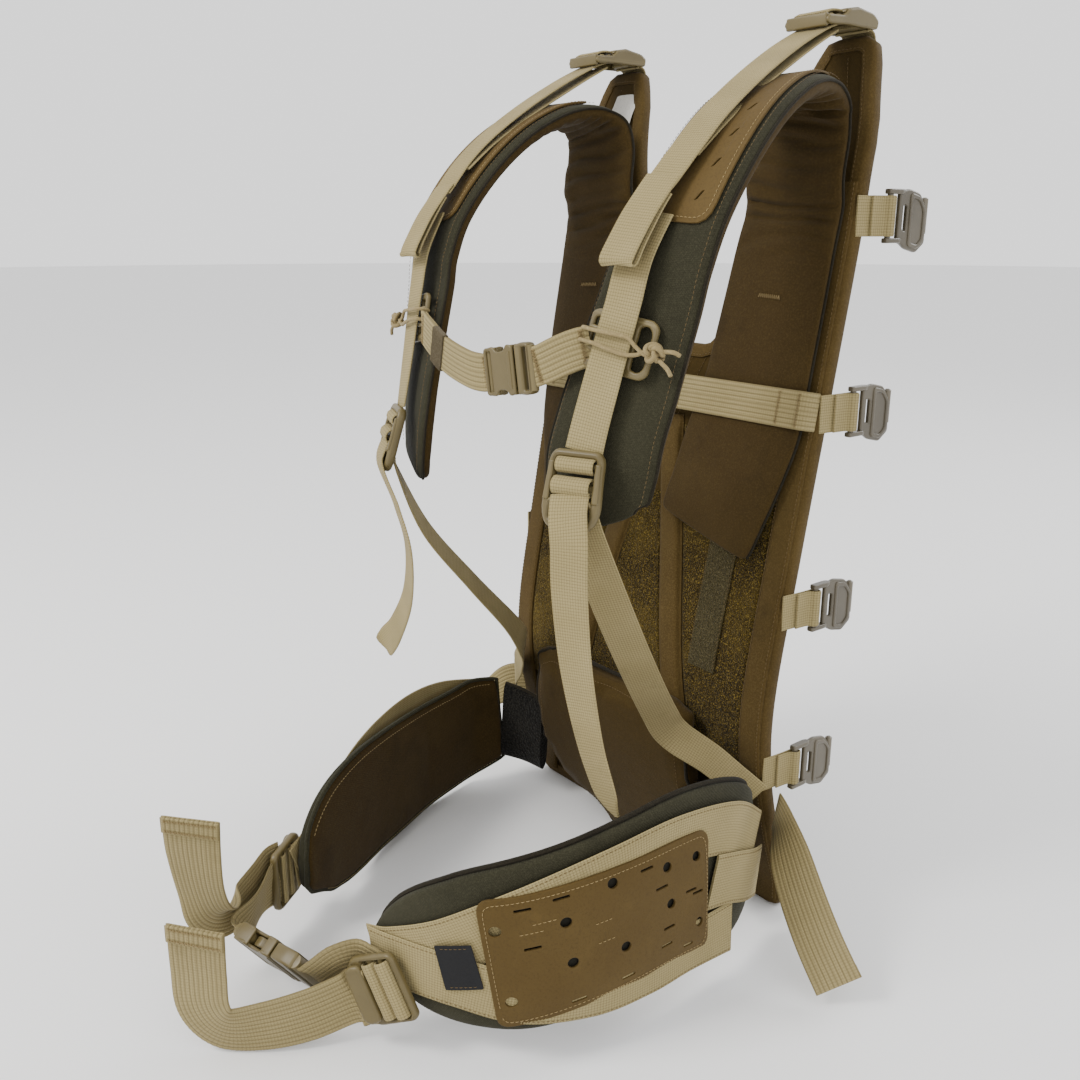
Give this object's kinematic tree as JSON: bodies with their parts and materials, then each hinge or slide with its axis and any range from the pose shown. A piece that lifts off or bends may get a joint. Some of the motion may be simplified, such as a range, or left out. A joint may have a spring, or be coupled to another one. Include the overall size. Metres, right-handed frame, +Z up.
{
  "type": "pack frame with shoulder harness and hip belt",
  "caption": "Load-carrying hunting pack frame with a padded shoulder harness, sternum strap, padded hip belt and side compression buckles.",
  "frame": {"origin": "middle of the frame's foot, on the surface that it stands on", "axes": "+Z up along the frame, -Y towards the wearer's back, +X the wearer's left"},
  "size_m": [0.4902, 0.5007, 0.62],
  "materials": {
    "sheet_plastic": "satin",
    "brown_fabric": "coated woven nylon",
    "olive_fabric": "woven nylon",
    "tan_laminate": "laminated nylon, matt",
    "stay_metal": "mill finish",
    "loop_fabric": "loop pile",
    "hook_fabric": "hook tape",
    "khaki_webbing": "ribbed webbing",
    "tan_plastic": "moulded, fine matt",
    "side_plastic": "moulded, soft gloss",
    "khaki_cord": "braided",
    "white_label": "woven label",
    "black_label": "woven label",
    "black_mesh": "spacer mesh"
  },
  "bodies": {
    "frame": {"frame_sheet": "sheet_plastic", "front_cover": "brown_fabric", "back_cover": "olive_fabric", "edge_rails": "tan_laminate", "stays": "stay_metal", "stay_sleeves": "tan_laminate", "loop_field": "loop_fabric", "hook_strips": "hook_fabric", "torso_webbing": "khaki_webbing", "care_label": "white_label", "side_webbing_left": "khaki_webbing", "side_webbing_right": "khaki_webbing", "shoulder_pad_left": "olive_fabric", "shoulder_pad_right": "olive_fabric", "yoke_panel_left": "brown_fabric", "yoke_panel_right": "brown_fabric", "strap_patches": "tan_laminate", "shoulder_webbing_left": "khaki_webbing", "shoulder_webbing_right": "khaki_webbing", "lifter_webbing_left": "khaki_webbing", "lifter_webbing_right": "khaki_webbing", "lifter_anchors": "tan_plastic", "lower_webbing_left": "khaki_webbing", "lower_webbing_right": "khaki_webbing", "lumbar_pad": "brown_fabric", "belt_roots": "black_mesh", "stabilizer_straps": "khaki_webbing"},
    "side_buckle_left_1": {"side_buckle_left_1": "side_plastic"},
    "side_buckle_left_2": {"side_buckle_left_2": "side_plastic"},
    "side_buckle_left_3": {"side_buckle_left_3": "side_plastic"},
    "side_buckle_left_4": {"side_buckle_left_4": "side_plastic"},
    "side_buckle_right_1": {"side_buckle_right_1": "side_plastic"},
    "side_buckle_right_2": {"side_buckle_right_2": "side_plastic"},
    "side_buckle_right_3": {"side_buckle_right_3": "side_plastic"},
    "side_buckle_right_4": {"side_buckle_right_4": "side_plastic"},
    "lifter_buckle_left": {"lifter_buckle_left": "tan_plastic"},
    "lifter_buckle_right": {"lifter_buckle_right": "tan_plastic"},
    "ladder_lock_left": {"ladder_lock_left": "tan_plastic"},
    "ladder_lock_right": {"ladder_lock_right": "tan_plastic"},
    "sternum_strap": {"sternum_keepers": "tan_plastic", "shock_cords": "khaki_cord", "sternum_webbing_left": "khaki_webbing", "sternum_webbing_right": "khaki_webbing", "sternum_buckle_female": "tan_plastic", "sternum_buckle_male": "tan_plastic"},
    "belt_wing_left": {"hip_wing_left": "olive_fabric", "wing_patch_left": "tan_laminate", "wing_bands_left": "tan_laminate", "belt_label": "black_label", "tri_glide_left": "tan_plastic", "belt_webbing_left": "khaki_webbing", "belt_buckle_male": "tan_plastic"},
    "belt_wing_right": {"hip_wing_right": "olive_fabric", "wing_patch_right": "tan_laminate", "wing_bands_right": "tan_laminate", "tri_glide_right": "tan_plastic", "belt_webbing_right": "khaki_webbing", "belt_buckle_female": "tan_plastic"}
  },
  "joints": [
    {"name": "side_buckle_left_1_swing", "type": "hinge", "parent": "frame", "child": "side_buckle_left_1", "pos_m": [0.1466, 0.05229, 0.496], "axis": [0, 0, 1], "range_deg": [-70, 70]},
    {"name": "side_buckle_left_2_swing", "type": "hinge", "parent": "frame", "child": "side_buckle_left_2", "pos_m": [0.1466, 0.02993, 0.371], "axis": [0, 0, 1], "range_deg": [-70, 70]},
    {"name": "side_buckle_left_3_swing", "type": "hinge", "parent": "frame", "child": "side_buckle_left_3", "pos_m": [0.1466, 0.00525, 0.238], "axis": [0, 0, 1], "range_deg": [-70, 70]},
    {"name": "side_buckle_left_4_swing", "type": "hinge", "parent": "frame", "child": "side_buckle_left_4", "pos_m": [0.1466, -0.00423, 0.12], "axis": [0, 0, 1], "range_deg": [-70, 70]},
    {"name": "side_buckle_right_1_swing", "type": "hinge", "parent": "frame", "child": "side_buckle_right_1", "pos_m": [-0.1466, 0.05229, 0.496], "axis": [0, 0, 1], "range_deg": [-70, 70]},
    {"name": "side_buckle_right_2_swing", "type": "hinge", "parent": "frame", "child": "side_buckle_right_2", "pos_m": [-0.1466, 0.02993, 0.371], "axis": [0, 0, 1], "range_deg": [-70, 70]},
    {"name": "side_buckle_right_3_swing", "type": "hinge", "parent": "frame", "child": "side_buckle_right_3", "pos_m": [-0.1466, 0.00525, 0.238], "axis": [0, 0, 1], "range_deg": [-70, 70]},
    {"name": "side_buckle_right_4_swing", "type": "hinge", "parent": "frame", "child": "side_buckle_right_4", "pos_m": [-0.1466, -0.00423, 0.12], "axis": [0, 0, 1], "range_deg": [-70, 70]},
    {"name": "lifter_buckle_left_tilt", "type": "hinge", "parent": "frame", "child": "lifter_buckle_left", "pos_m": [0.107, 0.051, 0.612], "axis": [1, 0, 0], "range_deg": [-45, 0]},
    {"name": "lifter_buckle_right_tilt", "type": "hinge", "parent": "frame", "child": "lifter_buckle_right", "pos_m": [-0.107, 0.051, 0.612], "axis": [1, 0, 0], "range_deg": [-45, 0]},
    {"name": "ladder_lock_left_tilt", "type": "hinge", "parent": "frame", "child": "ladder_lock_left", "pos_m": [0.1035, -0.1722, 0.354], "axis": [0.9272, 0.3746, 0], "range_deg": [-28, 0]},
    {"name": "ladder_lock_right_tilt", "type": "hinge", "parent": "frame", "child": "ladder_lock_right", "pos_m": [-0.1035, -0.1722, 0.354], "axis": [0.9272, -0.3746, 0], "range_deg": [-28, 0]},
    {"name": "sternum_strap_slide", "type": "slide", "parent": "frame", "child": "sternum_strap", "axis": [0, 0.2449, 0.9695], "range_m": [-0.02, 0.009]},
    {"name": "belt_wing_left_open", "type": "hinge", "parent": "frame", "child": "belt_wing_left", "pos_m": [0.152, -0.046, 0.08], "axis": [0, 0, 1], "range_deg": [0, 12]},
    {"name": "belt_wing_right_open", "type": "hinge", "parent": "frame", "child": "belt_wing_right", "pos_m": [-0.15, -0.047, 0.08], "axis": [0, 0, 1], "range_deg": [-30, 0]}
  ],
  "couplings": [
    {"joint": "belt_wing_right_open", "follows": "belt_wing_left_open", "ratio": -2.5}
  ]
}
